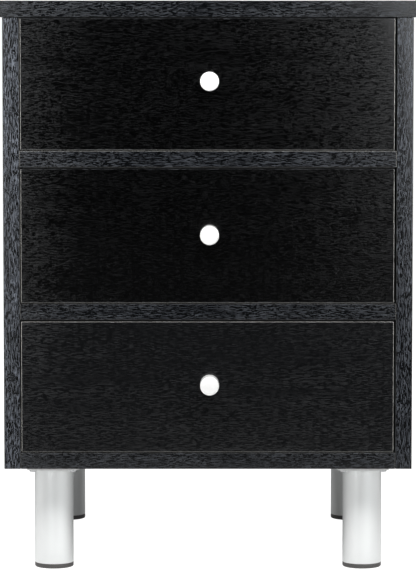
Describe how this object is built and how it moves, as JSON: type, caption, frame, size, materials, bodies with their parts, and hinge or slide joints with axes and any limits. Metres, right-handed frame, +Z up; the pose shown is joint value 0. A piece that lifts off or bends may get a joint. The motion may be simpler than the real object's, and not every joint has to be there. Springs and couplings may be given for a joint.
{
  "type": "nightstand with drawers",
  "caption": "Nightstand with inset drawers in black woodgrain boards, round white knobs and round satin metal legs on square plates.",
  "frame": {"origin": "on the floor, under the middle of the cabinet with its knobs", "axes": "+Z up; the drawers open towards -Y; +X is on the right of someone facing the drawers"},
  "size_m": [0.4, 0.419, 0.555],
  "materials": {
    "black_laminate": "black woodgrain laminate with open grain, satin",
    "drawer_foil": "black foil on board, fine grain, matt",
    "black_hardboard": "thin hardboard, black lacquered face, matt",
    "leg_aluminium": "satin",
    "plate_silver": "light silver, satin",
    "foot_plastic": "dark grey moulded plastic",
    "knob_white": "white, satin gloss",
    "zinc_steel": "bright zinc plate"
  },
  "bodies": {
    "cabinet": {"top_panel": "black_laminate", "left_side_panel": "black_laminate", "right_side_panel": "black_laminate", "bottom_panel": "black_laminate", "upper_rail": "black_laminate", "lower_rail": "black_laminate", "back_panel": "black_hardboard", "front_left_leg_plate": "plate_silver", "front_left_leg_tube": "leg_aluminium", "front_left_leg_foot": "foot_plastic", "front_right_leg_plate": "plate_silver", "front_right_leg_tube": "leg_aluminium", "front_right_leg_foot": "foot_plastic", "rear_left_leg_plate": "plate_silver", "rear_left_leg_tube": "leg_aluminium", "rear_left_leg_foot": "foot_plastic", "rear_right_leg_plate": "plate_silver", "rear_right_leg_tube": "leg_aluminium", "rear_right_leg_foot": "foot_plastic", "top_left_cabinet_runner": "zinc_steel", "top_right_cabinet_runner": "zinc_steel", "middle_left_cabinet_runner": "zinc_steel", "middle_right_cabinet_runner": "zinc_steel", "bottom_left_cabinet_runner": "zinc_steel", "bottom_right_cabinet_runner": "zinc_steel"},
    "top_drawer": {"top_drawer_front": "black_laminate", "top_drawer_left_side": "drawer_foil", "top_drawer_right_side": "drawer_foil", "top_drawer_back": "drawer_foil", "top_drawer_bottom": "black_hardboard", "top_drawer_knob": "knob_white", "top_drawer_knob_screw": "zinc_steel", "top_left_drawer_runner": "zinc_steel", "top_right_drawer_runner": "zinc_steel"},
    "top_ball_cages": {"top_left_ball_cage": "zinc_steel", "top_right_ball_cage": "zinc_steel"},
    "middle_drawer": {"middle_drawer_front": "black_laminate", "middle_drawer_left_side": "drawer_foil", "middle_drawer_right_side": "drawer_foil", "middle_drawer_back": "drawer_foil", "middle_drawer_bottom": "black_hardboard", "middle_drawer_knob": "knob_white", "middle_drawer_knob_screw": "zinc_steel", "middle_left_drawer_runner": "zinc_steel", "middle_right_drawer_runner": "zinc_steel"},
    "middle_ball_cages": {"middle_left_ball_cage": "zinc_steel", "middle_right_ball_cage": "zinc_steel"},
    "bottom_drawer": {"bottom_drawer_front": "black_laminate", "bottom_drawer_left_side": "drawer_foil", "bottom_drawer_right_side": "drawer_foil", "bottom_drawer_back": "drawer_foil", "bottom_drawer_bottom": "black_hardboard", "bottom_drawer_knob": "knob_white", "bottom_drawer_knob_screw": "zinc_steel", "bottom_left_drawer_runner": "zinc_steel", "bottom_right_drawer_runner": "zinc_steel"},
    "bottom_ball_cages": {"bottom_left_ball_cage": "zinc_steel", "bottom_right_ball_cage": "zinc_steel"}
  },
  "joints": [
    {"name": "top_drawer_slide", "type": "slide", "parent": "cabinet", "child": "top_drawer", "axis": [0, -1, 0], "range_m": [0, 0.26]},
    {"name": "middle_drawer_slide", "type": "slide", "parent": "cabinet", "child": "middle_drawer", "axis": [0, -1, 0], "range_m": [0, 0.26]},
    {"name": "bottom_drawer_slide", "type": "slide", "parent": "cabinet", "child": "bottom_drawer", "axis": [0, -1, 0], "range_m": [0, 0.26]},
    {"name": "top_ball_cage_slide", "type": "slide", "parent": "cabinet", "child": "top_ball_cages", "axis": [0, -1, 0], "range_m": [0, 0.13]},
    {"name": "middle_ball_cage_slide", "type": "slide", "parent": "cabinet", "child": "middle_ball_cages", "axis": [0, -1, 0], "range_m": [0, 0.13]},
    {"name": "bottom_ball_cage_slide", "type": "slide", "parent": "cabinet", "child": "bottom_ball_cages", "axis": [0, -1, 0], "range_m": [0, 0.13]}
  ],
  "couplings": [
    {"joint": "top_ball_cage_slide", "follows": "top_drawer_slide", "ratio": 0.5},
    {"joint": "middle_ball_cage_slide", "follows": "middle_drawer_slide", "ratio": 0.5},
    {"joint": "bottom_ball_cage_slide", "follows": "bottom_drawer_slide", "ratio": 0.5}
  ]
}
